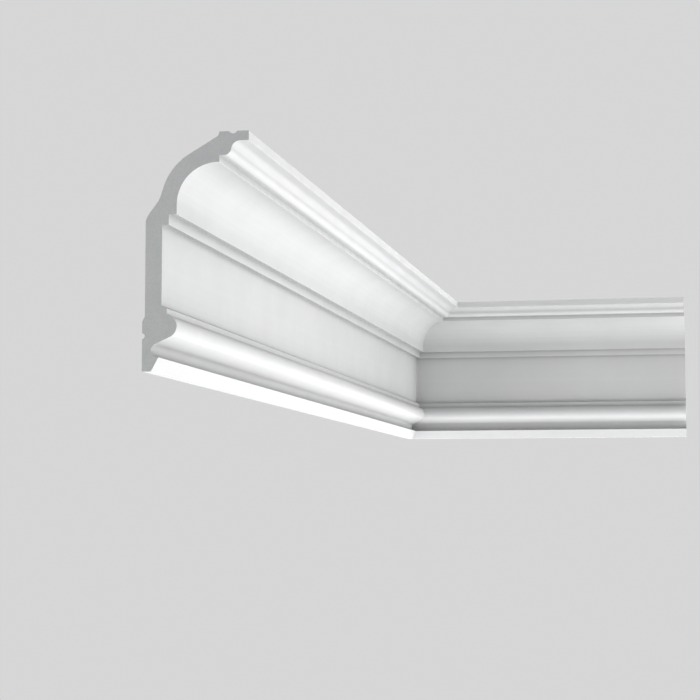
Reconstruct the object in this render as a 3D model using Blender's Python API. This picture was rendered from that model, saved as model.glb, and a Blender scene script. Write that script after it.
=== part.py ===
"""Inside corner of a coved cornice: a long length and a short length of one moulding, mitred together.

Metres, +Z up. The long length runs along Y and is fixed to the wall plane X = 0. The short length
runs along X and is fixed to the wall plane that closes the corner at +Y. The origin is on the flat
land by which the long length is fixed to its wall, half way along it.

Both lengths share one section. It is drawn in pairs of (out, up): out from the wall, and up from
the ceiling line, so that every point of it has a height of zero or less.
"""

import math

import bmesh
import bpy
from mathutils import Matrix, Vector

# Lengths along the wall
LONG_LENGTH = 1.400
SHORT_LENGTH = 0.433
JOINT_GAP = 0.0003

# Top fillet, against the ceiling
TOP_FILLET_HEIGHT = 0.0083
TOP_FILLET_SOFFIT = 0.0076

# Cyma below it, a hollow that runs into a round
CYMA_HOLLOW_RADIUS = 0.0078
CYMA_ROUND_RADIUS = 0.0064
CYMA_TURN = math.radians(82)
CYMA_LANDING = 0.0041

# Cove, hung from a small fillet
COVE_FILLET_HEIGHT = 0.0057
COVE_HEAD = 0.0015
COVE_RADIUS = 0.0360
COVE_FOOT = 0.0080
COVE_RETURN = 0.0068

# Middle fillet and frieze
MIDDLE_FILLET_HEIGHT = 0.0088
MIDDLE_FILLET_RETURN = 0.0059
FRIEZE_HEIGHT = 0.0695
FRIEZE_OUT = 0.0170

# Lower fillet, with the sloped ledge that carries it out from the frieze
LEDGE_OUT = 0.0047
LEDGE_DROP = 0.0026
LOWER_FILLET_HEIGHT = 0.0054

# Bead, the splay that falls from it towards the wall, and the scotia
BEAD_RADIUS = 0.0100
BEAD_SET_BACK = 0.0012
SPLAY_SLOPE = math.radians(25)
SPLAY_LENGTH = 0.0146
SCOTIA_RADIUS = 0.0058
SCOTIA_LIP = 0.0008

# Toe
CHAMFER_HEIGHT = 0.0123
TOE_WIDTH = 0.0080

# Land on the wall, with its glue groove
WALL_LAND_HEIGHT = 0.0430
WALL_LAND_CHAMFER = 0.0040
WALL_GROOVE_HEIGHT = 0.0278
WALL_GROOVE_WIDTH = 0.0050
WALL_GROOVE_DEPTH = 0.0023

# Land on the ceiling, with its glue groove
CEILING_LAND_WIDTH = 0.0259
CEILING_GROOVE_INSET = 0.0102
CEILING_GROOVE_WIDTH = 0.0072
CEILING_GROOVE_DEPTH = 0.0022

# Hollow back, from the wall land up to the ceiling land
RECESS_DEPTH = 0.0023
KNEE_RISE = 0.0056
KNEE_ROUNDING = 0.0110
ELBOW_ROUNDING = 0.0150
STEEP_BACK_LENGTH = 0.0110
STEEP_BACK_SLOPE = math.radians(72)
COVE_WALL = 0.0144
NECK_DROP = 0.0030
NECK_ROUNDING = 0.0047

# Widest angle that one facet of a round stretch may turn through, and the narrowest that is an arris
FACET_TURN = math.radians(5)
ARRIS_TURN = math.radians(20)

# Largest share of a straight side that the rounding of its corner may take
ROUNDING_SHARE = 0.9

# Points closer than this are one point
WELD_DISTANCE = 1e-6

# Finish
PRIMER_WHITE = (0.84, 0.84, 0.83, 1.0)
PRIMER_ROUGHNESS = 0.55


def heading(angle):
    """The unit vector that points along the angle."""
    return Vector((math.cos(angle), math.sin(angle)))


def turned(vector, angle):
    """The flat vector, turned anticlockwise by the angle."""
    return Matrix.Rotation(angle, 2) @ vector


class Pen:
    """Draws an outline point by point."""

    def __init__(self, start):
        self.points = [start]

    @property
    def at(self):
        return self.points[-1]

    def step(self, out=0.0, up=0.0):
        """A straight stretch, given by how far it goes."""
        self.points.append(self.at + Vector((out, up)))

    def line_to(self, point):
        """A straight stretch, given by where it ends."""
        self.points.append(point)

    def sweep(self, centre, turn):
        """A round stretch about the centre, anticlockwise where the turn is positive."""
        arm = self.at - centre
        facets = max(2, math.ceil(abs(turn) / FACET_TURN))
        for i in range(1, facets + 1):
            self.points.append(centre + turned(arm, turn * i / facets))

    def round_corner(self, corner, beyond, radius):
        """A straight stretch to the corner and a rounding there, towards the point beyond it.

        The rounding is smaller than asked where it would use up the shorter side.
        """
        back = (self.at - corner).normalized()
        ahead = (beyond - corner).normalized()
        half = back.angle(ahead) / 2
        shorter = min((self.at - corner).length, (beyond - corner).length)
        reach = min(radius / math.tan(half), ROUNDING_SHARE * shorter)
        centre = corner + (back + ahead).normalized() * reach / math.cos(half)
        turns_right = back.x * ahead.y > back.y * ahead.x
        turn = math.pi - 2 * half
        self.line_to(corner + back * reach)
        self.sweep(centre, -turn if turns_right else turn)

    def groove(self, along, width, depth):
        """A round-bottomed groove into the material on the right of the way the pen goes."""
        radius = (width ** 2 / 4 + depth ** 2) / (2 * depth)
        outside = turned(along, math.pi / 2)
        centre = self.at + along * width / 2 + outside * (radius - depth)
        self.sweep(centre, 2 * math.atan2(width / 2, radius - depth))


def draw_front(pen):
    """The show face, from the ceiling down to the toe."""
    pen.step(up=-TOP_FILLET_HEIGHT)
    pen.step(out=-TOP_FILLET_SOFFIT)
    pen.sweep(pen.at + Vector((0, -CYMA_HOLLOW_RADIUS)), CYMA_TURN)
    pen.sweep(pen.at + turned(Vector((0, CYMA_ROUND_RADIUS)), CYMA_TURN), -CYMA_TURN)
    pen.step(out=-CYMA_LANDING)

    pen.step(up=-COVE_FILLET_HEIGHT)
    pen.step(out=-COVE_HEAD)
    pen.sweep(pen.at + Vector((0, -COVE_RADIUS)), math.pi / 2)
    pen.step(up=-COVE_FOOT)
    pen.step(out=-COVE_RETURN)

    pen.step(up=-MIDDLE_FILLET_HEIGHT)
    pen.step(out=-MIDDLE_FILLET_RETURN)
    pen.step(up=-FRIEZE_HEIGHT)
    pen.step(out=LEDGE_OUT, up=-LEDGE_DROP)
    pen.step(up=-LOWER_FILLET_HEIGHT)
    draw_bead_and_scotia(pen)
    pen.line_to(Vector((TOE_WIDTH, pen.at.y - CHAMFER_HEIGHT)))


def draw_bead_and_scotia(pen):
    """The bead, the splay that touches both rounds, the scotia and its lip."""
    bead_top = math.acos(BEAD_SET_BACK / BEAD_RADIUS)
    touch = SPLAY_SLOPE - math.pi / 2
    pen.sweep(pen.at - BEAD_RADIUS * heading(bead_top), touch - bead_top)
    pen.line_to(pen.at + SPLAY_LENGTH * heading(math.pi + SPLAY_SLOPE))
    pen.sweep(pen.at + SCOTIA_RADIUS * heading(touch), math.pi / 2 - touch)
    pen.step(out=SCOTIA_LIP)


def draw_wall_land(pen):
    """The toe's underside and the land on the wall, up to where the hollow back begins."""
    toe = pen.at.y
    pen.line_to(Vector((0, toe)))
    pen.step(up=WALL_GROOVE_HEIGHT)
    pen.groove(Vector((0, 1)), WALL_GROOVE_WIDTH, WALL_GROOVE_DEPTH)
    pen.line_to(Vector((0, toe + WALL_LAND_HEIGHT)))
    pen.step(out=RECESS_DEPTH, up=WALL_LAND_CHAMFER)


def draw_hollow_back(pen, cove, frieze_top, land_back):
    """The back of the frieze and of the cove, up to the ceiling.

    Behind the cove it is round about the cove's own centre, so that the wall there stays even. From
    that round it runs straight both ways, down to the elbow and up to the neck.
    """
    radius = COVE_RADIUS + COVE_WALL
    steep_touch = cove + radius * heading(STEEP_BACK_SLOPE + math.pi / 2)
    knee = Vector((RECESS_DEPTH, frieze_top + KNEE_RISE))
    elbow = steep_touch - STEEP_BACK_LENGTH * heading(STEEP_BACK_SLOPE)
    neck = Vector((land_back, -NECK_DROP))
    end = Vector((land_back, 0))
    to_neck = neck - cove
    neck_touch = math.atan2(to_neck.y, to_neck.x) + math.acos(radius / to_neck.length)

    pen.round_corner(knee, elbow, KNEE_ROUNDING)
    pen.round_corner(elbow, steep_touch, ELBOW_ROUNDING)
    pen.line_to(steep_touch)
    pen.sweep(cove, neck_touch - STEEP_BACK_SLOPE - math.pi / 2)
    pen.round_corner(neck, end, NECK_ROUNDING)
    pen.line_to(end)


def section():
    """The outline of the moulding's section, how far it projects and how high it is."""
    cyma_run = (CYMA_HOLLOW_RADIUS + CYMA_ROUND_RADIUS) * math.sin(CYMA_TURN)
    cyma_drop = (CYMA_HOLLOW_RADIUS + CYMA_ROUND_RADIUS) * (1 - math.cos(CYMA_TURN))
    cove = Vector((
        FRIEZE_OUT + MIDDLE_FILLET_RETURN + COVE_RETURN + COVE_RADIUS,
        -TOP_FILLET_HEIGHT - cyma_drop - COVE_FILLET_HEIGHT - COVE_RADIUS,
    ))
    projection = cove.x + COVE_HEAD + CYMA_LANDING + cyma_run + TOP_FILLET_SOFFIT
    frieze_top = cove.y - COVE_FOOT - MIDDLE_FILLET_HEIGHT

    pen = Pen(Vector((projection, 0)))
    draw_front(pen)
    height = -pen.at.y
    draw_wall_land(pen)
    draw_hollow_back(pen, cove, frieze_top, projection - CEILING_LAND_WIDTH)
    pen.line_to(Vector((projection - CEILING_GROOVE_INSET - CEILING_GROOVE_WIDTH, 0)))
    pen.groove(Vector((1, 0)), CEILING_GROOVE_WIDTH, CEILING_GROOVE_DEPTH)
    return pen.points, projection, height


def clear_scene():
    for thing in list(bpy.data.objects):
        bpy.data.objects.remove(thing, do_unlink=True)


def new_collection(name):
    collection = bpy.data.collections.new(name)
    bpy.context.scene.collection.children.link(collection)
    return collection


def primed_material(name):
    """White primer on rigid foam."""
    material = bpy.data.materials.new(name)
    material.use_nodes = True
    shader = material.node_tree.nodes["Principled BSDF"]
    shader.inputs["Base Color"].default_value = PRIMER_WHITE
    shader.inputs["Roughness"].default_value = PRIMER_ROUGHNESS
    shader.inputs["Metallic"].default_value = 0.0
    return material


def extruded_curve(name, outline, length):
    """The outline as a filled flat curve, drawn out to the length about its middle."""
    curve = bpy.data.curves.new(name, "CURVE")
    curve.dimensions = "2D"
    curve.fill_mode = "BOTH"
    curve.extrude = length / 2
    spline = curve.splines.new("POLY")
    spline.points.add(len(outline) - 1)
    for point, (out, up) in zip(spline.points, outline):
        point.co = (out, up, 0, 1)
    spline.use_cyclic_u = True
    return bpy.data.objects.new(name, curve)


def curve_to_mesh(drawn, name, collection):
    """Turns the curve into a mesh object in the same place, with its caps welded on."""
    collection.objects.link(drawn)
    bpy.context.view_layer.update()
    graph = bpy.context.evaluated_depsgraph_get()
    mesh = bpy.data.meshes.new_from_object(drawn.evaluated_get(graph))
    mesh.name = name
    work = bmesh.new()
    work.from_mesh(mesh)
    bmesh.ops.remove_doubles(work, verts=work.verts, dist=WELD_DISTANCE)
    bmesh.ops.recalc_face_normals(work, faces=work.faces)
    work.to_mesh(mesh)
    work.free()
    solid = bpy.data.objects.new(name, mesh)
    collection.objects.link(solid)
    solid.parent = drawn.parent
    solid.matrix_world = drawn.matrix_world
    curve = drawn.data
    bpy.data.objects.remove(drawn, do_unlink=True)
    bpy.data.curves.remove(curve)
    return solid


def make_length(name, outline, length, location, rotation, corner, collection):
    """One length of moulding, square at both ends, placed from the room's corner."""
    drawn = extruded_curve(name + "_outline", outline, length)
    drawn.parent = corner
    drawn.location = location
    drawn.rotation_euler = rotation
    solid = curve_to_mesh(drawn, name, collection)
    solid.data.shade_smooth()
    solid.data.set_sharp_from_angle(angle=ARRIS_TURN)
    solid.data.materials.append(primed_material(name + "_primer"))
    return solid


def mitre_waste(name, side, projection, height, corner, collection):
    """The block that a mitre saw takes away, on one side of the corner's bisector.

    The side is 1 for the waste of the long length and -1 for that of the short one. The block is
    larger than the waste every way.
    """
    size = 2 * (projection + height)
    work = bmesh.new()
    bmesh.ops.create_cube(work, size=size)
    mesh = bpy.data.meshes.new(name)
    work.to_mesh(mesh)
    work.free()
    waste = bpy.data.objects.new(name, mesh)
    collection.objects.link(waste)
    waste.parent = corner
    across_joint = Vector((1, 1, 0)).normalized()
    joint_middle = Vector((projection / 2, -projection / 2, -height / 2))
    waste.location = joint_middle + side * across_joint * (size - JOINT_GAP) / 2
    waste.rotation_euler = (0, 0, math.pi / 4)
    waste.hide_render = True
    waste.display_type = "WIRE"
    return waste


def saw_mitre(solid, waste):
    cut = solid.modifiers.new("mitre", "BOOLEAN")
    cut.operation = "DIFFERENCE"
    cut.solver = "EXACT"
    cut.object = waste


def build():
    clear_scene()
    parts = new_collection("cornice_inside_corner")
    cutters = new_collection("cutters")
    cutters.hide_render = True

    outline, projection, height = section()
    corner = bpy.data.objects.new("room_corner", None)
    corner.location = (0, LONG_LENGTH / 2, height - WALL_GROOVE_HEIGHT / 2)
    parts.objects.link(corner)

    upright = (math.pi / 2, 0, 0)
    upright_turned = (math.pi / 2, 0, -math.pi / 2)
    long_middle = (0, -LONG_LENGTH / 2, 0)
    short_middle = (SHORT_LENGTH / 2, 0, 0)
    long_length = make_length(
        "long_length", outline, LONG_LENGTH, long_middle, upright, corner, parts)
    short_length = make_length(
        "short_length", outline, SHORT_LENGTH, short_middle, upright_turned, corner, parts)
    saw_mitre(long_length, mitre_waste("long_waste", 1, projection, height, corner, cutters))
    saw_mitre(short_length, mitre_waste("short_waste", -1, projection, height, corner, cutters))


build()
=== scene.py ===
"""Visual model of an inside corner of coved cornice moulding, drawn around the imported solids.

Two lengths of one hollow-backed foam moulding meet in a mitre. Each is a fine sweep of the same
section, from the same sizes as the solids, with its arrises eased, its show side primed white, its
back left as it was cast and its ends sawn. Metres, +Z up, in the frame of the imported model.
"""

import logging
import math
from dataclasses import dataclass
from enum import Enum

import bpy
import numpy as np
from mathutils import Euler, Matrix, Vector


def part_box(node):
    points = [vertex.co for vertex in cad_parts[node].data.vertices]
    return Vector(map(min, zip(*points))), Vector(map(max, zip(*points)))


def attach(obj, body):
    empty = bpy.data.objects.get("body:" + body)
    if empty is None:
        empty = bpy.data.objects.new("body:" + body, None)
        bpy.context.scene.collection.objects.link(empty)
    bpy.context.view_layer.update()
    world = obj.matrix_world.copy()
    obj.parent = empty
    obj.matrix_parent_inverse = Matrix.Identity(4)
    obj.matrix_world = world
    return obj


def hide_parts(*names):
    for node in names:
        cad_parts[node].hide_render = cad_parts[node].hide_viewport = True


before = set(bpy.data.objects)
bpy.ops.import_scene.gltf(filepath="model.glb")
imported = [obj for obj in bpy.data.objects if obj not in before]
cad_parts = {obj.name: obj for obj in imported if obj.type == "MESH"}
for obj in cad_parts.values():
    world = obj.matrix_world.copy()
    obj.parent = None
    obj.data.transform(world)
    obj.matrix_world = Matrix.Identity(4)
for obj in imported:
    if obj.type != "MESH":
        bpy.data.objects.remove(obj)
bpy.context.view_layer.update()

LOG = logging.getLogger("cornice")
# Point attribute with the share of the view taken, which sets the shade painted into the primer's
# quirks.
PAINTED_SHADE_ATTRIBUTE = "shelter"
BODY = "root"


class Cut(Enum):
    """How an end is sawn. The value is how far it falls back along the run for each metre out."""

    SQUARE = 0.0
    MITRED = 1.0


@dataclass(frozen=True)
class OutlinePoint:
    """A point of the section.

    Args:
        at: Where it is, out from the wall and up from the ceiling line.
        back: True where the outline that ends here is on the unprimed back.
    """

    at: Vector
    back: bool


def heading(angle: float) -> Vector:
    """Returns the unit vector that points along the angle."""
    return Vector((math.cos(angle), math.sin(angle)))


def turned(vector: Vector, angle: float) -> Vector:
    """Returns the flat vector, turned anticlockwise by the angle."""
    return Matrix.Rotation(angle, 2) @ vector


class Pen:
    """Draws the section's outline point by point."""

    def __init__(self, start: Vector, facet_turn: float) -> None:
        """Puts the pen down.

        Args:
            start: The first point.
            facet_turn: The widest angle that one step of a round stretch turns through.
        """
        self.facet_turn = facet_turn
        self.back = False
        self.points = [OutlinePoint(start, False)]

    @property
    def at(self) -> Vector:
        """Where the pen is."""
        return self.points[-1].at

    def line_to(self, point: Vector) -> None:
        """Draws a straight stretch, given by where it ends."""
        self.points.append(OutlinePoint(point, self.back))

    def step(self, out: float = 0.0, up: float = 0.0) -> None:
        """Draws a straight stretch, given by how far it goes."""
        self.line_to(self.at + Vector((out, up)))

    def sweep(self, centre: Vector, turn: float) -> None:
        """Draws a round stretch.

        Args:
            centre: The centre that it turns about.
            turn: The angle of the stretch, positive for anticlockwise.
        """
        arm = self.at - centre
        facets = max(2, math.ceil(abs(turn) / self.facet_turn))
        for i in range(1, facets + 1):
            self.line_to(centre + turned(arm, turn * i / facets))

    def round_corner(self, corner: Vector, beyond: Vector, radius: float) -> None:
        """Draws a straight stretch to a corner and a rounding there.

        Args:
            corner: Where the straight stretches on both sides would meet.
            beyond: A point on the stretch after the corner.
            radius: The radius of the rounding.
        """
        back = (self.at - corner).normalized()
        ahead = (beyond - corner).normalized()
        half = back.angle(ahead) / 2
        reach = radius / math.tan(half)
        centre = corner + (back + ahead).normalized() * reach / math.cos(half)
        turns_right = back.x * ahead.y > back.y * ahead.x
        turn = math.pi - 2 * half
        self.line_to(corner + back * reach)
        self.sweep(centre, -turn if turns_right else turn)

    def groove(self, along: Vector, width: float, depth: float) -> None:
        """Draws a round-bottomed groove into the foam, on the right of the way the pen goes.

        Args:
            along: The unit vector that the pen goes along.
            width: The groove's width.
            depth: The groove's depth.
        """
        radius = (width ** 2 / 4 + depth ** 2) / (2 * depth)
        outside = turned(along, math.pi / 2)
        centre = self.at + along * width / 2 + outside * (radius - depth)
        self.sweep(centre, 2 * math.atan2(width / 2, radius - depth))


@dataclass(frozen=True)
class Easing:
    """Eases the sharp corners of an outline, as a cast arris is.

    Args:
        radius: Radius of the easing at a square corner.
        corner_turn: Narrowest turn that counts as a corner.
        steps: Points on each easing.
        support: Distance from an easing to the extra point that keeps a flat side's shading flat.
        shortest: The shortest stretch that gets such points.
        share: Largest share of the distance between two corners that one easing may take.
    """

    radius: float = 0.00035
    corner_turn: float = math.radians(9)
    steps: int = 5
    support: float = 0.00025
    shortest: float = 0.001
    share: float = 0.4

    def corners(self, points: list[OutlinePoint]) -> list[tuple[int, float]]:
        """Finds the corners.

        Args:
            points: The closed outline.

        Returns:
            Each corner's index and how far the outline turns there.
        """
        found = []
        for i, point in enumerate(points):
            before = point.at - points[i - 1].at
            after = points[(i + 1) % len(points)].at - point.at
            turn = abs(before.angle(after))
            if turn > self.corner_turn:
                found.append((i, turn))
        return found

    def eased(self, points: list[OutlinePoint]) -> list[OutlinePoint]:
        """Eases each corner and props each flat side.

        Args:
            points: The closed outline.

        Returns:
            The closed outline with a small rounding in place of each corner.
        """
        corners = self.corners(points)
        sides = [self._side(points, corners[k - 1][0], at) for k, (at, _) in enumerate(corners)]
        runs = [sum((b.at - a.at).length for a, b in zip(side, side[1:])) for side in sides]
        made: list[OutlinePoint] = []
        for k, (index, turn) in enumerate(corners):
            after = (k + 1) % len(corners)
            start, end, leave = (
                min(self.radius * math.tan(bend / 2), self.share * run)
                for bend, run in (
                    (corners[k - 1][1], runs[k]), (turn, runs[k]), (turn, runs[after])
                )
            )
            made += self._trimmed(sides[k], start, runs[k] - end)
            following = self._walked(sides[after], leave)
            made += self._bend(made[-1], points[index], following, sides[after][1].back)
        return made

    @staticmethod
    def _side(points: list[OutlinePoint], first: int, last: int) -> list[OutlinePoint]:
        """Cuts a side out of a closed outline.

        Args:
            points: The outline.
            first: Index of the corner that it starts at.
            last: Index of the corner that it ends at.

        Returns:
            The side's points, with both corners.
        """
        count = len(points)
        steps = (last - first) % count or count
        return [points[(first + i) % count] for i in range(steps + 1)]

    def _trimmed(self, side: list[OutlinePoint], start: float, end: float) -> list[OutlinePoint]:
        """Shortens a side and props it.

        Args:
            side: The side's points.
            start: Distance along it at which it starts now.
            end: Distance along it at which it ends now.

        Returns:
            The points between, with those that keep its shading flat.
        """
        kept: list[OutlinePoint] = []
        done = 0.0
        for a, b in zip(side, side[1:]):
            length = (b.at - a.at).length
            stops = {start, end, start + self.support, end - self.support, done + length}
            if length < self.shortest:
                stops = {start, end, done + length}
            for stop in sorted(stops):
                inside = done < stop <= done + length and start <= stop <= end
                if inside:
                    kept.append(OutlinePoint(a.at.lerp(b.at, (stop - done) / length), b.back))
            done += length
        return kept

    @staticmethod
    def _walked(side: list[OutlinePoint], distance: float) -> Vector:
        """Walks along a side.

        Args:
            side: The side's points.
            distance: How far to walk.

        Returns:
            The place reached.
        """
        for a, b in zip(side, side[1:]):
            length = (b.at - a.at).length
            if distance <= length:
                return a.at.lerp(b.at, distance / length)
            distance -= length
        return side[-1].at

    def _bend(
        self, start: OutlinePoint, corner: OutlinePoint, end: Vector, back: bool
    ) -> list[OutlinePoint]:
        """Draws the rounding between two sides.

        Args:
            start: Where the first side ends.
            corner: The corner that is eased.
            end: Where the second side starts.
            back: True where the second side is on the unprimed back.

        Returns:
            The rounding's points, without its two ends.
        """
        bend = []
        for i in range(1, self.steps):
            t = i / self.steps
            at = start.at.lerp(corner.at, t).lerp(corner.at.lerp(end, t), t)
            bend.append(OutlinePoint(at, corner.back if t < 0.5 else back))
        return bend


def divided(points: list[OutlinePoint], longest: float) -> list[OutlinePoint]:
    """Splits the stretches of a closed outline.

    Args:
        points: The outline.
        longest: The longest stretch that stays whole.

    Returns:
        The same outline with more points.
    """
    made: list[OutlinePoint] = []
    for before, point in zip(points[-1:] + points[:-1], points):
        parts = max(1, math.ceil((point.at - before.at).length / longest))
        made += [
            OutlinePoint(before.at.lerp(point.at, k / parts), point.back)
            for k in range(1, parts + 1)
        ]
    return made


# The share of the view taken sets how much shade is painted into the primer's quirks.
@dataclass(frozen=True)
class Shelter:
    """Works out how much of the open view the outline itself takes from each of its points.

    Args:
        reach: Distance within which the outline shelters a point.
        ways: How many ways are looked along from each point.
        widest: The widest angle from straight out that is looked along.
        lift: Distance off the surface from which the view is taken.
    """

    reach: float = 0.20
    ways: int = 25
    widest: float = math.radians(84)
    lift: float = 0.00002

    def at_each(self, places: list[Vector]) -> list[float]:
        """Looks out from each place of a closed outline.

        Args:
            places: The outline's points, in order.

        Returns:
            The share of the view that is taken at each, nearer things counting for more.
        """
        starts = np.array([tuple(place) for place in places])
        sides = np.roll(starts, -1, axis=0) - starts
        out = self._square(sides + np.roll(sides, 1, axis=0))
        out /= np.linalg.norm(out, axis=1, keepdims=True)
        gaps = starts[None, :] - (starts + out * self.lift)[:, None]
        taken, total = np.zeros(len(places)), 0.0
        for k in range(self.ways):
            angle = self.widest * (2 * (k + 0.5) / self.ways - 1)
            way = out * math.cos(angle) + self._square(out) * math.sin(angle)
            crossing = self._cross(way[:, None], sides)
            with np.errstate(divide="ignore", invalid="ignore"):
                far = self._cross(gaps, sides) / crossing
                share = self._cross(gaps, way[:, None]) / crossing
            met = (far > 0) & (share >= 0) & (share <= 1)
            nearest = np.where(met, far, self.reach).min(axis=1).clip(max=self.reach)
            taken += math.cos(angle) * (1 - nearest / self.reach)
            total += math.cos(angle)
        return (taken / total).tolist()

    @staticmethod
    def _square(vectors: np.ndarray) -> np.ndarray:
        """Returns the flat vectors, turned anticlockwise by a right angle."""
        return np.stack([-vectors[..., 1], vectors[..., 0]], axis=-1)

    @staticmethod
    def _cross(a: np.ndarray, b: np.ndarray) -> np.ndarray:
        """Returns the flat cross products."""
        return a[..., 0] * b[..., 1] - a[..., 1] * b[..., 0]


@dataclass(frozen=True)
class Section:
    """The moulding's section. Sizes are in metres and as on the solids."""

    top_fillet_height: float = 0.0083
    top_fillet_soffit: float = 0.0076
    cyma_hollow_radius: float = 0.0078
    cyma_round_radius: float = 0.0064
    cyma_turn: float = math.radians(82)
    cyma_landing: float = 0.0041
    cove_fillet_height: float = 0.0057
    cove_head: float = 0.0015
    cove_radius: float = 0.0360
    cove_foot: float = 0.0080
    cove_return: float = 0.0068
    middle_fillet_height: float = 0.0088
    middle_fillet_return: float = 0.0059
    frieze_height: float = 0.0695
    frieze_out: float = 0.0170
    ledge_out: float = 0.0047
    ledge_drop: float = 0.0026
    lower_fillet_height: float = 0.0054
    bead_radius: float = 0.0100
    bead_set_back: float = 0.0012
    splay_slope: float = math.radians(25)
    splay_length: float = 0.0146
    scotia_radius: float = 0.0058
    scotia_lip: float = 0.0008
    chamfer_height: float = 0.0123
    toe_width: float = 0.0080
    wall_land_height: float = 0.0430
    wall_land_chamfer: float = 0.0040
    wall_groove_height: float = 0.0278
    wall_groove_width: float = 0.0050
    wall_groove_depth: float = 0.0023
    ceiling_land_width: float = 0.0259
    ceiling_groove_inset: float = 0.0102
    ceiling_groove_width: float = 0.0072
    ceiling_groove_depth: float = 0.0022
    recess_depth: float = 0.0023
    knee_rise: float = 0.0056
    knee_rounding: float = 0.0110
    elbow_rounding: float = 0.0150
    steep_back_length: float = 0.0110
    steep_back_slope: float = math.radians(72)
    cove_wall: float = 0.0144
    neck_drop: float = 0.0030
    neck_rounding: float = 0.0047
    facet_turn: float = math.radians(2.5)
    longest_stretch: float = 0.0025
    easing: Easing = Easing()

    @property
    def cove_centre(self) -> Vector:
        """Adds up the members above and behind the cove.

        Returns:
            The centre of the cove.
        """
        cyma_drop = (self.cyma_hollow_radius + self.cyma_round_radius) * (
            1 - math.cos(self.cyma_turn)
        )
        above = self.top_fillet_height + cyma_drop + self.cove_fillet_height
        behind = self.frieze_out + self.middle_fillet_return + self.cove_return
        return Vector((behind + self.cove_radius, -above - self.cove_radius))

    @property
    def projection(self) -> float:
        """Adds up the members from the wall out.

        Returns:
            How far the moulding stands out from the wall.
        """
        cyma_run = (self.cyma_hollow_radius + self.cyma_round_radius) * math.sin(self.cyma_turn)
        in_front = self.cove_head + self.cyma_landing + cyma_run + self.top_fillet_soffit
        return self.cove_centre.x + in_front

    def outline(self) -> list[OutlinePoint]:
        """Draws the whole section.

        Returns:
            The closed outline, down the show side and up the back.
        """
        pen = Pen(Vector((self.projection, 0)), self.facet_turn)
        self._draw_head(pen)
        self._draw_frieze(pen)
        self._draw_foot(pen)
        pen.back = True
        self._draw_wall_land(pen)
        self._draw_hollow_back(pen)
        self._draw_ceiling_land(pen)
        return divided(self.easing.eased(pen.points), self.longest_stretch)

    def _draw_head(self, pen: Pen) -> None:
        """Draws the top fillet, the cyma and the cove, down to the cove's foot.

        Args:
            pen: The pen.
        """
        pen.step(up=-self.top_fillet_height)
        pen.step(out=-self.top_fillet_soffit)
        pen.sweep(pen.at + Vector((0, -self.cyma_hollow_radius)), self.cyma_turn)
        arm = turned(Vector((0, self.cyma_round_radius)), self.cyma_turn)
        pen.sweep(pen.at + arm, -self.cyma_turn)
        pen.step(out=-self.cyma_landing)
        pen.step(up=-self.cove_fillet_height)
        pen.step(out=-self.cove_head)
        pen.sweep(pen.at + Vector((0, -self.cove_radius)), math.pi / 2)
        pen.step(up=-self.cove_foot)

    def _draw_frieze(self, pen: Pen) -> None:
        """Draws the middle fillet, the frieze and the lower fillet on its ledge.

        Args:
            pen: The pen.
        """
        pen.step(out=-self.cove_return)
        pen.step(up=-self.middle_fillet_height)
        pen.step(out=-self.middle_fillet_return)
        pen.step(up=-self.frieze_height)
        pen.step(out=self.ledge_out, up=-self.ledge_drop)
        pen.step(up=-self.lower_fillet_height)

    def _draw_foot(self, pen: Pen) -> None:
        """Draws the bead, the splay, the scotia, the chamfer and the toe's underside.

        Args:
            pen: The pen.
        """
        bead_top = math.acos(self.bead_set_back / self.bead_radius)
        touch = self.splay_slope - math.pi / 2
        pen.sweep(pen.at - self.bead_radius * heading(bead_top), touch - bead_top)
        pen.line_to(pen.at + self.splay_length * heading(math.pi + self.splay_slope))
        pen.sweep(pen.at + self.scotia_radius * heading(touch), math.pi / 2 - touch)
        pen.step(out=self.scotia_lip)
        pen.line_to(Vector((self.toe_width, pen.at.y - self.chamfer_height)))
        pen.line_to(Vector((0, pen.at.y)))

    def _draw_wall_land(self, pen: Pen) -> None:
        """Draws the land on the wall with its glue groove, up to the hollow back.

        Args:
            pen: The pen.
        """
        toe = pen.at.y
        pen.step(up=self.wall_groove_height)
        pen.groove(Vector((0, 1)), self.wall_groove_width, self.wall_groove_depth)
        pen.line_to(Vector((0, toe + self.wall_land_height)))
        pen.step(out=self.recess_depth, up=self.wall_land_chamfer)

    def _draw_hollow_back(self, pen: Pen) -> None:
        """Draws the back of the frieze and of the cove, up to the ceiling.

        Args:
            pen: The pen.
        """
        cove = self.cove_centre
        frieze_top = cove.y - self.cove_foot - self.middle_fillet_height
        land_back = self.projection - self.ceiling_land_width
        radius = self.cove_radius + self.cove_wall
        steep_touch = cove + radius * heading(self.steep_back_slope + math.pi / 2)
        knee = Vector((self.recess_depth, frieze_top + self.knee_rise))
        elbow = steep_touch - self.steep_back_length * heading(self.steep_back_slope)
        neck = Vector((land_back, -self.neck_drop))
        end = Vector((land_back, 0))
        to_neck = neck - cove
        neck_touch = math.atan2(to_neck.y, to_neck.x) + math.acos(radius / to_neck.length)
        pen.round_corner(knee, elbow, self.knee_rounding)
        pen.round_corner(elbow, steep_touch, self.elbow_rounding)
        pen.line_to(steep_touch)
        pen.sweep(cove, neck_touch - self.steep_back_slope - math.pi / 2)
        pen.round_corner(neck, end, self.neck_rounding)
        pen.line_to(end)

    def _draw_ceiling_land(self, pen: Pen) -> None:
        """Draws the land on the ceiling with its glue groove.

        Args:
            pen: The pen.
        """
        groove_start = self.projection - self.ceiling_groove_inset - self.ceiling_groove_width
        pen.line_to(Vector((groove_start, 0)))
        pen.groove(Vector((1, 0)), self.ceiling_groove_width, self.ceiling_groove_depth)


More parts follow.
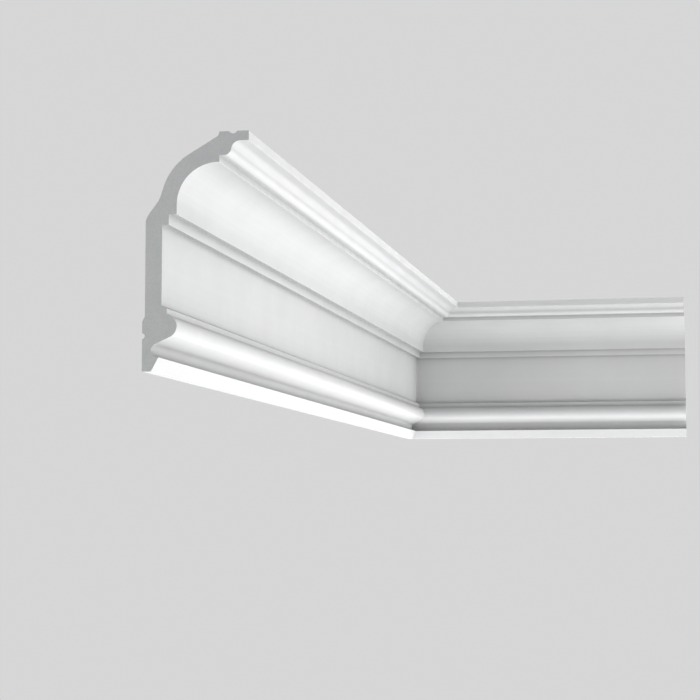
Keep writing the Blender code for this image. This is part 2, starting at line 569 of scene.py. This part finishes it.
class NodeTree:
    """A node tree that is put together node by node."""

    def __init__(self, tree: bpy.types.NodeTree) -> None:
        """Takes on the tree."""
        self.tree = tree

    def node(self, kind: str, **settings: object) -> bpy.types.Node:
        """Adds a node.

        Args:
            kind: The node's type.
            settings: Its settings by name.

        Returns:
            The node.
        """
        made = self.tree.nodes.new(kind)
        for name, value in settings.items():
            setattr(made, name, value)
        return made

    def feed(self, socket: bpy.types.NodeSocket, value: object) -> None:
        """Fills a socket.

        Args:
            socket: The socket.
            value: A value, or another node's output.
        """
        if isinstance(value, bpy.types.NodeSocket):
            self.tree.links.new(value, socket)
        else:
            socket.default_value = value

    def passed(
        self, kind: str, inputs: dict[str, object], **settings: object
    ) -> bpy.types.NodeSocket:
        """Adds a node and fills its inputs.

        Args:
            kind: The node's type.
            inputs: Values, or other nodes' outputs, by the input's name.
            settings: Its settings by name.

        Returns:
            Its first output.
        """
        made = self.node(kind, **settings)
        for name, value in inputs.items():
            self.feed(made.inputs[name], value)
        return made.outputs[0]


@dataclass(frozen=True)
class Tint:
    """A colour and how far it wanders over the surface.

    Args:
        light: The colour where it is lightest.
        dark: The colour where it is darkest.
        patch: Size of a patch of one colour, in metres.
    """

    light: tuple[float, float, float]
    dark: tuple[float, float, float]
    patch: float


@dataclass(frozen=True)
class Roughness:
    """A roughness and how far it wanders over the surface.

    Args:
        low: The lowest roughness.
        high: The highest roughness.
        patch: Size of a patch of one roughness, in metres.
        detail: How many finer layers the patches have.
    """

    low: float
    high: float
    patch: float
    detail: float = 3.0


class Shading(NodeTree):
    """A material's node tree, with the few pieces that every finish here is made of."""

    MIX_INPUTS = (6, 7)
    MIX_OUTPUT = 2
    TINT_DETAIL = 3.0
    TINT_CLOUDS = (0.35, 0.65)
    ROUGH_CLOUDS = (0.3, 0.7)
    HALF_TAKEN = 0.5
    WAVE_LENGTH = 2 * math.pi / 20

    def __init__(self, name: str) -> None:
        """Starts a material.

        Args:
            name: The material's name.
        """
        self.material = bpy.data.materials.new(name)
        self.material.use_nodes = True
        super().__init__(self.material.node_tree)
        self.shader = self.tree.nodes["Principled BSDF"]
        self.place = self.node("ShaderNodeTexCoord").outputs["Object"]

    def noise(self, patch: float, detail: float) -> bpy.types.NodeSocket:
        """Returns clouds from 0 to 1, by the size of one and how many finer layers it has."""
        inputs = {"Vector": self.place, "Scale": 1 / patch, "Detail": detail}
        return self.passed("ShaderNodeTexNoise", inputs)

    def cells(self, size: float) -> bpy.types.NodeSocket:
        """Returns the distance from the middle of each round cell, by the size of one."""
        return self.passed("ShaderNodeTexVoronoi", {"Vector": self.place, "Scale": 1 / size})

    def ranged(
        self, value: bpy.types.NodeSocket, low: float, high: float, to_low: float, to_high: float
    ) -> bpy.types.NodeSocket:
        """Stretches one range of a value over another and holds it there.

        Args:
            value: The value.
            low: Where its range starts.
            high: Where its range ends.
            to_low: What the start becomes.
            to_high: What the end becomes.

        Returns:
            The stretched value.
        """
        inputs = {
            "Value": value, "From Min": low, "From Max": high, "To Min": to_low, "To Max": to_high
        }
        return self.passed("ShaderNodeMapRange", inputs, clamp=True)

    def mixed(self, share: bpy.types.NodeSocket, low: object, high: object) -> bpy.types.NodeSocket:
        """Mixes two colours.

        Args:
            share: How much of the second there is, from 0 to 1.
            low: The first colour.
            high: The second colour.

        Returns:
            The colour between.
        """
        made = self.node("ShaderNodeMix", data_type="RGBA")
        self.feed(made.inputs["Factor"], share)
        for index, colour in zip(self.MIX_INPUTS, (low, high)):
            self.feed(made.inputs[index], colour)
        return made.outputs[self.MIX_OUTPUT]

    def bump(
        self, height: bpy.types.NodeSocket, depth: float, strength: float,
        under: bpy.types.NodeSocket | None = None,
    ) -> bpy.types.NodeSocket:
        """Makes a bumpy normal.

        Args:
            height: The pattern of heights, from 0 to 1.
            depth: How high 1 stands, in metres.
            strength: How much of the effect shows.
            under: A normal that this one is laid over.

        Returns:
            The normal.
        """
        inputs = {"Height": height, "Distance": depth, "Strength": strength}
        if under is not None:
            inputs["Normal"] = under
        return self.passed("ShaderNodeBump", inputs)

    def tint(self, tint: Tint) -> bpy.types.NodeSocket:
        """Returns the colour of a tint, as it wanders over the surface."""
        cloud = self.ranged(self.noise(tint.patch, self.TINT_DETAIL), *self.TINT_CLOUDS, 0.0, 1.0)
        return self.mixed(cloud, (*tint.dark, 1.0), (*tint.light, 1.0))

    def with_painted_shade(self, colour: bpy.types.NodeSocket, share: float) -> bpy.types.NodeSocket:
        """Paints shade into a colour: darkens it in the quirks.

        Args:
            colour: The colour on the open faces.
            share: How much darker it is where half of the view is taken.

        Returns:
            The colour, with shade painted in where the surface is sheltered.
        """
        # Painted shade: the share of view taken at each point darkens the colour there.
        shelter = self.node("ShaderNodeAttribute", attribute_name=PAINTED_SHADE_ATTRIBUTE)
        kept = self.ranged(shelter.outputs["Fac"], 0.0, self.HALF_TAKEN, 1.0, 1.0 - share)
        inputs = {"Vector": colour, "Scale": kept}
        return self.passed("ShaderNodeVectorMath", inputs, operation="SCALE")

    def finished(
        self, colour: bpy.types.NodeSocket, roughness: Roughness, specular: float,
        normal: bpy.types.NodeSocket,
    ) -> bpy.types.Material:
        """Fills the shader's main sockets.

        Args:
            colour: The colour.
            roughness: The roughness.
            specular: How much the surface reflects.
            normal: The bumpy normal.

        Returns:
            The material.
        """
        cloud = self.noise(roughness.patch, roughness.detail)
        rough = self.ranged(cloud, *self.ROUGH_CLOUDS, roughness.low, roughness.high)
        for name, value in (
            ("Base Color", colour), ("Roughness", rough),
            ("Specular IOR Level", specular), ("Normal", normal),
        ):
            self.feed(self.shader.inputs[name], value)
        return self.material


@dataclass(frozen=True)
class PrimerFinish:
    """Sprayed white primer on the show side: matt, with a fine, even orange peel.

    Args:
        tint: The white.
        roughness: The roughness.
        peel_size: Size of the orange peel's bumps, in metres.
        peel_depth: Height of the orange peel, in metres.
        speck_size: Size of the spray's finest specks, in metres.
        speck_depth: Height of the specks, in metres.
        detail: How many finer layers the bumps and the specks have.
        specular: How much the coat reflects.
        quirk_painted_shade: How much darker the white is painted in the quirks, as shade.
    """

    tint: Tint = Tint((0.806, 0.809, 0.811), (0.790, 0.793, 0.795), 0.060)
    roughness: Roughness = Roughness(0.52, 0.62, 0.02)
    peel_size: float = 0.0014
    peel_depth: float = 0.000012
    speck_size: float = 0.00035
    speck_depth: float = 0.000004
    detail: float = 1.0
    specular: float = 0.35
    quirk_painted_shade: float = 0.28

    def material(self) -> bpy.types.Material:
        """Builds the material.

        Returns:
            The material.
        """
        made = Shading("sprayed_primer")
        # Painted shade: the white is darkened in the quirks by how much of the view the outline
        # takes there.
        white = made.with_painted_shade(made.tint(self.tint), self.quirk_painted_shade)
        peel = made.bump(made.noise(self.peel_size, self.detail), self.peel_depth, 1.0)
        speck = made.bump(made.noise(self.speck_size, self.detail), self.speck_depth, 1.0, peel)
        return made.finished(white, self.roughness, self.specular, speck)


@dataclass(frozen=True)
class CastBackFinish:
    """The cast skin on the back: light grey, faintly mottled, with fine pores.

    Args:
        tint: The grey.
        roughness: The roughness.
        pore_size: Distance between pores, in metres.
        pore_rim: Where a pore's wall starts and ends, as shares of that distance.
        pore_depth: Depth of a pore, in metres.
        pore_strength: How much of that depth shows.
        pore_painted_shade: How much darker a pore is painted, as shade in its hollow.
        ripple_size: Size of the skin's slow ripples, in metres.
        ripple_depth: Height of the ripples, in metres.
        ripple_detail: How many finer layers the ripples have.
        specular: How much the skin reflects.
    """

    tint: Tint = Tint((0.665, 0.662, 0.652), (0.635, 0.631, 0.620), 0.025)
    roughness: Roughness = Roughness(0.62, 0.80, 0.006)
    pore_size: float = 0.0022
    pore_rim: tuple[float, float] = (0.08, 0.24)
    pore_depth: float = 0.00018
    pore_strength: float = 0.8
    pore_painted_shade: float = 0.80
    ripple_size: float = 0.014
    ripple_depth: float = 0.00016
    ripple_detail: float = 2.0
    specular: float = 0.3

    def material(self) -> bpy.types.Material:
        """Builds the material.

        Returns:
            The material.
        """
        made = Shading("cast_foam_back")
        pores = made.ranged(made.cells(self.pore_size), *self.pore_rim, 0.0, 1.0)
        # Painted shade: each pore's hollow is darker than the skin round it.
        shadowed = tuple(c * self.pore_painted_shade for c in self.tint.dark)
        skin = made.mixed(pores, (*shadowed, 1.0), made.tint(self.tint))
        ripples = made.noise(self.ripple_size, self.ripple_detail)
        ripple = made.bump(ripples, self.ripple_depth, 1.0)
        normal = made.bump(pores, self.pore_depth, self.pore_strength, ripple)
        return made.finished(skin, self.roughness, self.specular, normal)


@dataclass(frozen=True)
class SawnFoamFinish:
    """A sawn end: bare light grey foam, with fine closed cells and faint saw marks.

    Args:
        tint: The foam's grey.
        roughness: The roughness.
        cell_size: Size of a cell, in metres.
        cell_rim: Where a cell's wall starts and ends, as shares of that size.
        cell_depth: Depth of an opened cell, in metres.
        cell_strength: How much of that depth shows.
        cell_painted_shade: How much darker an opened cell is painted, as shade in its hollow.
        saw_pitch: Distance between saw marks, in metres.
        saw_waver: How far the saw marks stray.
        saw_detail: How many finer layers they have.
        saw_depth: Depth of the saw marks, in metres.
        specular: How much the foam reflects.
    """

    tint: Tint = Tint((0.640, 0.650, 0.654), (0.624, 0.634, 0.638), 0.012)
    roughness: Roughness = Roughness(0.78, 0.92, 0.004, 2.0)
    cell_size: float = 0.0007
    cell_rim: tuple[float, float] = (0.10, 0.55)
    cell_depth: float = 0.00010
    cell_strength: float = 0.6
    cell_painted_shade: float = 0.90
    saw_pitch: float = 0.005655
    saw_waver: float = 2.5
    saw_detail: float = 2.0
    saw_depth: float = 0.00003
    specular: float = 0.2

    def material(self) -> bpy.types.Material:
        """Builds the material.

        Returns:
            The material.
        """
        made = Shading("sawn_foam")
        cells = made.ranged(made.cells(self.cell_size), *self.cell_rim, 0.0, 1.0)
        # Painted shade: each opened cell's hollow is darker than the cell walls.
        opened = tuple(c * self.cell_painted_shade for c in self.tint.dark)
        foam = made.mixed(cells, (*opened, 1.0), made.tint(self.tint))
        saw = made.node("ShaderNodeTexWave", wave_type="BANDS", bands_direction="Z")
        for name, value in (
            ("Vector", made.place), ("Scale", made.WAVE_LENGTH / self.saw_pitch),
            ("Distortion", self.saw_waver), ("Detail", self.saw_detail),
        ):
            made.feed(saw.inputs[name], value)
        marks = made.bump(saw.outputs["Fac"], self.saw_depth, 1.0)
        normal = made.bump(cells, self.cell_depth, self.cell_strength, marks)
        return made.finished(foam, self.roughness, self.specular, normal)


@dataclass(frozen=True)
class Finishes:
    """The three finishes of a length of moulding."""

    primer: bpy.types.Material
    back: bpy.types.Material
    sawn: bpy.types.Material


class SweepTree(NodeTree):
    """Geometry Nodes that sweep a closed outline along a straight run and saw both of its ends."""

    INPUTS = (
        ("Run", "NodeSocketFloat"),
        ("Rings", "NodeSocketInt"),
        ("Start Slant", "NodeSocketFloat"),
        ("End Slant", "NodeSocketFloat"),
        ("Primer", "NodeSocketMaterial"),
        ("Back", "NodeSocketMaterial"),
        ("Sawn", "NodeSocketMaterial"),
    )
    BACK_MARK = "back"
    END_FACING = 0.5

    def __init__(self) -> None:
        """Builds the tree."""
        super().__init__(bpy.data.node_groups.new("moulding_sweep", "GeometryNodeTree"))
        face = self.tree.interface
        face.new_socket("Outline", in_out="INPUT", socket_type="NodeSocketGeometry")
        self.identifiers = {
            name: face.new_socket(name, in_out="INPUT", socket_type=kind).identifier
            for name, kind in self.INPUTS
        }
        face.new_socket("Moulding", in_out="OUTPUT", socket_type="NodeSocketGeometry")
        self.given = self.node("NodeGroupInput")
        swept = self._swept()
        sawn = self._sawn(swept)
        self._finished(sawn)

    def _maths(self, operation: str, first: object, second: object) -> bpy.types.NodeSocket:
        """Does one sum.

        Args:
            operation: What is done.
            first: The first number or output.
            second: The second number or output.

        Returns:
            The result.
        """
        made = self.node("ShaderNodeMath", operation=operation)
        for socket, value in zip(made.inputs, (first, second)):
            self.feed(socket, value)
        return made.outputs[0]

    def _swept(self) -> bpy.types.NodeSocket:
        """Sweeps the outline along the run, faces it outwards and shades its sides smooth.

        Returns:
            The moulding with both ends square.
        """
        outline = self.passed("GeometryNodeMeshToCurve", {"Mesh": self.given.outputs["Outline"]})
        end = self.passed("ShaderNodeCombineXYZ", {"Z": self.given.outputs["Run"]})
        line = self.passed("GeometryNodeCurvePrimitiveLine", {"End": end})
        rings = self.passed(
            "GeometryNodeResampleCurve", {"Curve": line, "Count": self.given.outputs["Rings"]}
        )
        sweep = self.passed(
            "GeometryNodeCurveToMesh",
            {"Curve": rings, "Profile Curve": outline, "Fill Caps": True},
        )
        outward = self.passed("GeometryNodeFlipFaces", {"Mesh": sweep})
        smooth = self.passed("GeometryNodeSetShadeSmooth", {"Geometry": outward})
        return self.passed(
            "GeometryNodeSetShadeSmooth",
            {"Geometry": smooth, "Selection": self._on_end(), "Shade Smooth": False},
        )

    def _parts(self, kind: str) -> bpy.types.bpy_prop_collection:
        """Returns the three numbers of the vector that a kind of node gives."""
        vector = self.node(kind).outputs[0]
        return self.passed("ShaderNodeSeparateXYZ", {"Vector": vector}).node.outputs

    def _on_end(self) -> bpy.types.NodeSocket:
        """Finds the two end faces, sawn square or not.

        Returns:
            A test that holds on them.
        """
        facing = self._parts("GeometryNodeInputNormal")["Z"]
        along = self._maths("ABSOLUTE", facing, 0.0)
        return self._maths("GREATER_THAN", along, self.END_FACING)

    def _sawn(self, swept: bpy.types.NodeSocket) -> bpy.types.NodeSocket:
        """Slants the ends: each point moves along the run by its distance out and its place.

        Args:
            swept: The moulding with both ends square.

        Returns:
            The moulding with both ends sawn.
        """
        parts = self._parts("GeometryNodeInputPosition")
        share = self._maths("DIVIDE", parts["Z"], self.given.outputs["Run"])
        left = self._maths("SUBTRACT", 1.0, share)
        forward = self._maths("MULTIPLY", left, self.given.outputs["Start Slant"])
        backward = self._maths("MULTIPLY", share, self.given.outputs["End Slant"])
        slant = self._maths("SUBTRACT", forward, backward)
        along = self._maths("MULTIPLY", slant, parts["X"])
        shift = self.passed("ShaderNodeCombineXYZ", {"Z": along})
        return self.passed("GeometryNodeSetPosition", {"Geometry": swept, "Offset": shift})

    def _finished(self, sawn: bpy.types.NodeSocket) -> None:
        """Realizes the moulding and gives its show side, back and ends their finishes.

        Args:
            sawn: The moulding with both ends sawn.
        """
        piece = self.passed("GeometryNodeRealizeInstances", {"Geometry": sawn})
        back = self.passed(
            "GeometryNodeInputNamedAttribute", {"Name": self.BACK_MARK}, data_type="BOOLEAN"
        )
        for name, test in (("Primer", True), ("Back", back), ("Sawn", self._on_end())):
            finish = self.given.outputs[name]
            piece = self.passed(
                "GeometryNodeSetMaterial",
                {"Geometry": piece, "Selection": test, "Material": finish},
            )
        self.feed(self.node("NodeGroupOutput").inputs["Moulding"], piece)


@dataclass(frozen=True)
class MouldingLength:
    """One length of the moulding.

    Args:
        name: The piece's name.
        node: The solid that it stands for.
        run: Its length along the wall, at the wall.
        start_cut: How its first end is sawn.
        end_cut: How its other end is sawn.
        placement: Where the outline's own frame lies: out, up and along the run.
        ring_spacing: Distance between the rings of the sweep.
    """

    name: str
    node: str
    run: float
    start_cut: Cut
    end_cut: Cut
    placement: Matrix
    ring_spacing: float = 0.1

    def build(
        self, outline: bpy.types.Mesh, sweep: SweepTree, finishes: Finishes
    ) -> bpy.types.Object:
        """Sweeps, saws, places and finishes the length.

        Args:
            outline: The outline that it is swept from.
            sweep: The nodes that sweep it.
            finishes: Its materials.

        Returns:
            The finished piece, at the origin.
        """
        drawn = bpy.data.objects.new(self.name + "_outline", outline)
        bpy.context.scene.collection.objects.link(drawn)
        modifier = drawn.modifiers.new("sweep", "NODES")
        modifier.node_group = sweep.tree
        sizes = {
            "Run": self.run,
            "Rings": max(2, math.ceil(self.run / self.ring_spacing) + 1),
            "Start Slant": self.start_cut.value,
            "End Slant": self.end_cut.value,
            "Primer": finishes.primer,
            "Back": finishes.back,
            "Sawn": finishes.sawn,
        }
        for name, value in sizes.items():
            modifier[sweep.identifiers[name]] = value
        mesh = self._evaluated(drawn)
        mesh.transform(self.placement)
        mesh.update()
        piece = bpy.data.objects.new(self.name, mesh)
        bpy.context.scene.collection.objects.link(piece)
        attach(piece, BODY)
        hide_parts(self.node)
        return piece

    def _evaluated(self, drawn: bpy.types.Object) -> bpy.types.Mesh:
        """Turns the sweep into a plain mesh and clears the outline away.

        Args:
            drawn: The outline, with the sweep on it.

        Returns:
            The mesh.
        """
        bpy.context.view_layer.update()
        graph = bpy.context.evaluated_depsgraph_get()
        mesh = bpy.data.meshes.new_from_object(drawn.evaluated_get(graph))
        mesh.name = self.name
        drawn.modifiers.clear()
        bpy.data.objects.remove(drawn, do_unlink=True)
        return mesh


@dataclass(frozen=True)
class InsideCorner:
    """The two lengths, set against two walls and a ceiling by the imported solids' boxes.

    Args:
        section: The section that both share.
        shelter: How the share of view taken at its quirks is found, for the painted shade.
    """

    section: Section = Section()
    shelter: Shelter = Shelter()

    def lengths(self) -> list[MouldingLength]:
        """Works out both lengths from the solids' boxes.

        Returns:
            The long and the short length, mitred where they meet.
        """
        long_low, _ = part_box("long_length")
        _, short_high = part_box("short_length")
        corner = Vector((long_low.x, short_high.y, short_high.z))
        upright = Euler((math.pi / 2, 0, 0)).to_matrix().to_4x4()
        across = Euler((math.pi / 2, 0, -math.pi / 2)).to_matrix().to_4x4()
        right_end = Vector((short_high.x, corner.y, corner.z))
        return [
            MouldingLength(
                "long_moulding", "long_length", corner.y - long_low.y,
                Cut.MITRED, Cut.SQUARE, Matrix.Translation(corner) @ upright,
            ),
            MouldingLength(
                "short_moulding", "short_length", short_high.x - corner.x,
                Cut.SQUARE, Cut.MITRED, Matrix.Translation(right_end) @ across,
            ),
        ]

    def build(self) -> None:
        """Builds and finishes both lengths."""
        finishes = Finishes(
            PrimerFinish().material(), CastBackFinish().material(), SawnFoamFinish().material()
        )
        outline = self._outline_mesh()
        sweep = SweepTree()
        for length in self.lengths():
            piece = length.build(outline, sweep, finishes)
            LOG.info("%s: %d faces, run %.3f m", piece.name, len(piece.data.polygons), length.run)
        bpy.data.meshes.remove(outline)

    def _outline_mesh(self) -> bpy.types.Mesh:
        """Draws the section as a ring of edges.

        Returns:
            The ring, with its back marked and the share of view taken at each point for painted
            shade.
        """
        outline = self.section.outline()
        count = len(outline)
        mesh = bpy.data.meshes.new("outline")
        ring = [(i, (i + 1) % count) for i in range(count)]
        mesh.from_pydata([(*point.at, 0.0) for point in outline], ring, [])
        back = mesh.attributes.new(SweepTree.BACK_MARK, "BOOLEAN", "POINT")
        back.data.foreach_set("value", [point.back for point in outline])
        # Share of the view taken at each point, which the primer turns into painted shade.
        taken = mesh.attributes.new(PAINTED_SHADE_ATTRIBUTE, "FLOAT", "POINT")
        taken.data.foreach_set("value", self.shelter.at_each([point.at for point in outline]))
        return mesh


@dataclass(frozen=True)
class SoftLight:
    """A round area light, unseen by the camera.

    Args:
        name: Its name.
        azimuth: Direction that it stands in, anticlockwise from +X seen from above.
        elevation: Its height above the horizontal.
        level: How bright a white surface that faces it looks.
        distance: How far it stands from the moulding.
        radius: Its radius.
    """

    name: str
    azimuth: float
    elevation: float
    level: float
    distance: float = 5.0
    radius: float = 2.0

    def build(self, aim: Vector) -> None:
        """Sets the light up.

        Args:
            aim: The place that it stands away from and is turned to.
        """
        level = math.cos(self.elevation)
        way = Vector((
            math.cos(self.azimuth) * level, math.sin(self.azimuth) * level, math.sin(self.elevation)
        ))
        data = bpy.data.lights.new(self.name, "AREA")
        data.shape = "DISK"
        data.size = 2 * self.radius
        data.energy = math.pi ** 2 * self.level * (self.radius ** 2 + self.distance ** 2)
        light = bpy.data.objects.new(self.name, data)
        light.location = aim + way * self.distance
        light.rotation_euler = way.to_track_quat("Z", "Y").to_euler()
        light.visible_camera = False
        bpy.context.scene.collection.objects.link(light)


@dataclass(frozen=True)
class Studio:
    """A pale floor well below the cornice, soft light, and the photograph's camera.

    Args:
        camera_place: Where the camera stands.
        camera_pitch: How far it looks up.
        camera_yaw: How far it is turned to the left.
        camera_lens: Focal length, in millimetres.
        camera_sensor: Width of the sensor, in millimetres.
        contrast: How much steeper than plain the picture's tones are.
        floor_depth: How far the floor lies below the origin.
        floor_radius: Radius of the floor.
        floor_sides: Number of the floor's sides.
        floor_tone: The floor's grey.
        floor_roughness: The floor's roughness.
        floor_glow: How bright the floor is by itself.
        backdrop_level: How bright the backdrop looks.
        even_level: How bright the light from all round is.
        light_aim: The place that the soft lights are turned to.
        lights: The soft lights.
    """

    camera_place: Vector = Vector((0.48253, -2.23897, -0.13858))
    camera_pitch: float = 0.0891
    camera_yaw: float = 0.1935
    camera_lens: float = 96.98
    camera_sensor: float = 36.0
    contrast: float = 1.4
    floor_depth: float = 3.3
    floor_radius: float = 30.0
    floor_sides: int = 96
    floor_tone: float = 0.12
    floor_roughness: float = 0.9
    floor_glow: float = 0.69
    backdrop_level: float = 0.755
    even_level: float = 0.435
    light_aim: Vector = Vector((0.15, 0.3, 0.1))
    lights: tuple[SoftLight, ...] = (
        SoftLight("under_light", 0.0, math.radians(-90), 0.340, 3.0, 3.0),
        SoftLight("right_low_light", 0.0, math.radians(-12), 0.287, 4.0, 1.6),
        SoftLight("far_low_light", math.radians(72), math.radians(-12), 0.233, 4.0, 1.6),
        SoftLight("left_low_light", math.radians(-150), math.radians(-12), 0.253, 4.0, 1.6),
        SoftLight("far_light", math.radians(60), math.radians(15), 0.200),
        SoftLight("near_light", math.radians(-120), math.radians(15), 0.122),
        SoftLight("top_light", 0.0, math.radians(90), 0.400, 5.0, 1.2),
    )

    def build(self) -> None:
        """Builds the floor, the lights and the camera."""
        scene = bpy.context.scene
        scene.view_settings.view_transform = "Standard"
        scene.view_settings.gamma = 1 / self.contrast
        self._floor()
        self._light_world(scene)
        for light in self.lights:
            light.build(self.light_aim)
        scene.camera = self._camera()

    def _floor(self) -> bpy.types.Object:
        """Builds the floor.

        Returns:
            A plain pale disc.
        """
        count = self.floor_sides
        mesh = bpy.data.meshes.new("floor")
        rim = [self.floor_radius * heading(2 * math.pi * i / count) for i in range(count)]
        mesh.from_pydata([(*at, -self.floor_depth) for at in rim], [], [tuple(range(count))])
        made = Shading("pale_floor")
        for name, value in (
            ("Base Color", (*(self.floor_tone,) * 3, 1.0)), ("Roughness", self.floor_roughness),
            ("Specular IOR Level", 0.0), ("Emission Color", (1.0, 1.0, 1.0, 1.0)),
            ("Emission Strength", self.floor_glow),
        ):
            made.feed(made.shader.inputs[name], value)
        mesh.materials.append(made.material)
        floor = bpy.data.objects.new("floor", mesh)
        bpy.context.scene.collection.objects.link(floor)
        return floor

    def _light_world(self, scene: bpy.types.Scene) -> None:
        """Gives the scene an even light, and a pale backdrop behind it.

        Args:
            scene: The scene.
        """
        world = bpy.data.worlds.new("studio")
        world.use_nodes = True
        sky = NodeTree(world.node_tree)
        seen = sky.node("ShaderNodeLightPath").outputs["Is Camera Ray"]
        levels = {"Value": seen, "To Min": self.even_level, "To Max": self.backdrop_level}
        background = sky.tree.nodes["Background"]
        sky.feed(background.inputs["Strength"], sky.passed("ShaderNodeMapRange", levels))
        sky.feed(background.inputs["Color"], (1.0, 1.0, 1.0, 1.0))
        scene.world = world

    def _camera(self) -> bpy.types.Object:
        """Builds the camera.

        Returns:
            The camera, placed as the photograph's.
        """
        data = bpy.data.cameras.new("camera")
        data.lens = self.camera_lens
        data.sensor_width = self.camera_sensor
        camera = bpy.data.objects.new("camera", data)
        camera.location = self.camera_place
        camera.rotation_euler = (math.pi / 2 + self.camera_pitch, 0.0, self.camera_yaw)
        bpy.context.scene.collection.objects.link(camera)
        return camera


def main() -> None:
    """Builds the corner and the studio round it."""
    logging.basicConfig(level=logging.INFO, format="%(message)s")
    InsideCorner().build()
    Studio().build()


if __name__ == "__main__":
    main()
